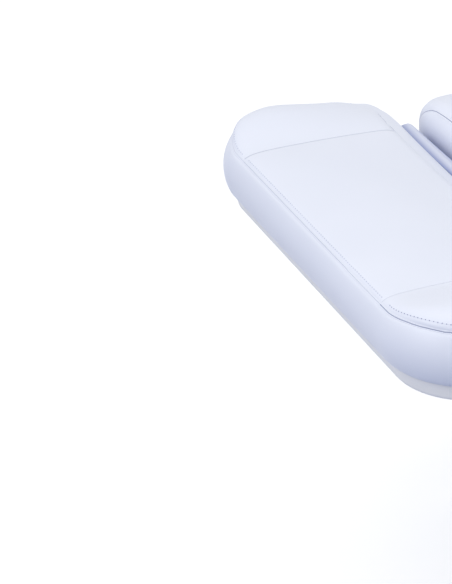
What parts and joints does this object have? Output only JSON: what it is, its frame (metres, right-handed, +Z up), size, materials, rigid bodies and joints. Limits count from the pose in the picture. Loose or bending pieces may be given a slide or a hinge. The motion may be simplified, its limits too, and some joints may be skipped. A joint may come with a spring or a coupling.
{
  "type": "facial treatment bed",
  "caption": "Padded treatment bed in four full-width sections that tilt on hinges, on a lifting column and a low covered base.",
  "frame": {"origin": "middle of the footprint of the whole bed, on the floor, with all sections flat and the column down", "axes": "+X along the bed from the head end to the foot end, +Y across it towards the far side, +Z up"},
  "size_m": [1.92, 0.62, 0.648],
  "materials": {
    "vinyl": "vinyl-coated fabric, soft matte",
    "board_white": "smooth laminate",
    "frame_paint": "fine powder coat",
    "shell_white": "fine-grained moulded shell",
    "column_paint": "powder coat",
    "anodised": "anodised satin",
    "zinc_steel": "zinc plated",
    "rod_steel": "ground and polished",
    "black_plastic": "textured moulding",
    "button_grey": "satin",
    "rubber": "matte"
  },
  "bodies": {
    "base": {"base_frame": "frame_paint", "base_feet": "rubber", "tube_end_plugs": "black_plastic", "base_cover": "shell_white", "base_screws": "zinc_steel", "column_outer": "column_paint", "column_glides": "black_plastic", "lift_motor": "black_plastic", "lift_spindle": "zinc_steel", "control_box": "black_plastic", "mains_inlet": "black_plastic"},
    "carriage": {"column_inner": "anodised", "drive_tube": "frame_paint", "column_head_plate": "frame_paint", "seat_frame": "frame_paint", "seat_hinge_plates": "frame_paint", "seat_hinge_washers": "black_plastic", "seat_hinge_pins": "zinc_steel", "back_hinge_cover": "vinyl", "leg_hinge_cover": "vinyl", "seat_board": "board_white", "seat_cushion": "vinyl", "seat_board_screws": "zinc_steel", "actuator_brackets": "frame_paint", "actuator_pins": "zinc_steel", "control_panel": "black_plastic"},
    "back_section": {"back_frame": "frame_paint", "back_hinge_arms": "frame_paint", "head_hinge_plates": "frame_paint", "head_friction_discs": "black_plastic", "head_hinge_pins": "zinc_steel", "head_hinge_cover": "vinyl", "back_board": "board_white", "back_cushion": "vinyl", "back_board_screws": "zinc_steel", "back_actuator_lug": "frame_paint"},
    "head_section": {"head_frame": "frame_paint", "head_hinge_arms": "frame_paint", "head_board": "board_white", "head_cushion": "vinyl", "head_board_screws": "zinc_steel"},
    "leg_section": {"leg_frame": "frame_paint", "leg_hinge_arms": "frame_paint", "leg_board": "board_white", "leg_cushion": "vinyl", "leg_board_screws": "zinc_steel", "leg_actuator_lug": "frame_paint"},
    "back_actuator": {"back_actuator_tube": "frame_paint", "back_actuator_motor": "black_plastic"},
    "back_rod": {"back_push_rod": "rod_steel"},
    "leg_actuator": {"leg_actuator_tube": "frame_paint", "leg_actuator_motor": "black_plastic"},
    "leg_rod": {"leg_push_rod": "rod_steel"},
    "button_bed_up": {"button_bed_up": "button_grey"},
    "button_bed_down": {"button_bed_down": "button_grey"},
    "button_back_up": {"button_back_up": "button_grey"},
    "button_back_down": {"button_back_down": "button_grey"},
    "button_leg_up": {"button_leg_up": "button_grey"},
    "button_leg_down": {"button_leg_down": "button_grey"}
  },
  "joints": [
    {"name": "lift", "type": "slide", "parent": "base", "child": "carriage", "axis": [0, 0, 1], "range_m": [0, 0.25]},
    {"name": "back_tilt", "type": "hinge", "parent": "carriage", "child": "back_section", "pos_m": [-0.115, 0, 0.613], "axis": [0, 1, 0], "range_deg": [0, 65]},
    {"name": "head_tilt", "type": "hinge", "parent": "back_section", "child": "head_section", "pos_m": [-0.705, 0, 0.613], "axis": [0, 1, 0], "range_deg": [-35, 45]},
    {"name": "leg_tilt", "type": "hinge", "parent": "carriage", "child": "leg_section", "pos_m": [0.355, 0, 0.613], "axis": [0, 1, 0], "range_deg": [-15, 60]},
    {"name": "back_actuator_swing", "type": "hinge", "parent": "carriage", "child": "back_actuator", "pos_m": [0.025, -0.1, 0.443], "axis": [0, 1, 0], "range_deg": [0, 32]},
    {"name": "back_actuator_extend", "type": "slide", "parent": "back_actuator", "child": "back_rod", "axis": [-0.9998, 0, 0.0185], "range_m": [0, 0.152]},
    {"name": "leg_actuator_swing", "type": "hinge", "parent": "carriage", "child": "leg_actuator", "pos_m": [-0.035, 0.1, 0.453], "axis": [0, 1, 0], "range_deg": [-2, 7]},
    {"name": "leg_actuator_extend", "type": "slide", "parent": "leg_actuator", "child": "leg_rod", "axis": [0.9976, 0, 0.0698], "range_m": [-0.163, 0.042]},
    {"name": "button_bed_up_press", "type": "slide", "parent": "carriage", "child": "button_bed_up", "axis": [0, 1, 0], "range_m": [0, 0.002], "stiffness_N_per_m": 300},
    {"name": "button_bed_down_press", "type": "slide", "parent": "carriage", "child": "button_bed_down", "axis": [0, 1, 0], "range_m": [0, 0.002], "stiffness_N_per_m": 300},
    {"name": "button_back_up_press", "type": "slide", "parent": "carriage", "child": "button_back_up", "axis": [0, 1, 0], "range_m": [0, 0.002], "stiffness_N_per_m": 300},
    {"name": "button_back_down_press", "type": "slide", "parent": "carriage", "child": "button_back_down", "axis": [0, 1, 0], "range_m": [0, 0.002], "stiffness_N_per_m": 300},
    {"name": "button_leg_up_press", "type": "slide", "parent": "carriage", "child": "button_leg_up", "axis": [0, 1, 0], "range_m": [0, 0.002], "stiffness_N_per_m": 300},
    {"name": "button_leg_down_press", "type": "slide", "parent": "carriage", "child": "button_leg_down", "axis": [0, 1, 0], "range_m": [0, 0.002], "stiffness_N_per_m": 300}
  ],
  "couplings": [
    {"joint": "back_actuator_swing", "follows": "back_tilt", "ratio": 0.48},
    {"joint": "back_actuator_extend", "follows": "back_tilt", "m_per_rad": 0.1327},
    {"joint": "leg_actuator_swing", "follows": "leg_tilt", "ratio": 0.103},
    {"joint": "leg_actuator_extend", "follows": "leg_tilt", "m_per_rad": -0.1538}
  ]
}
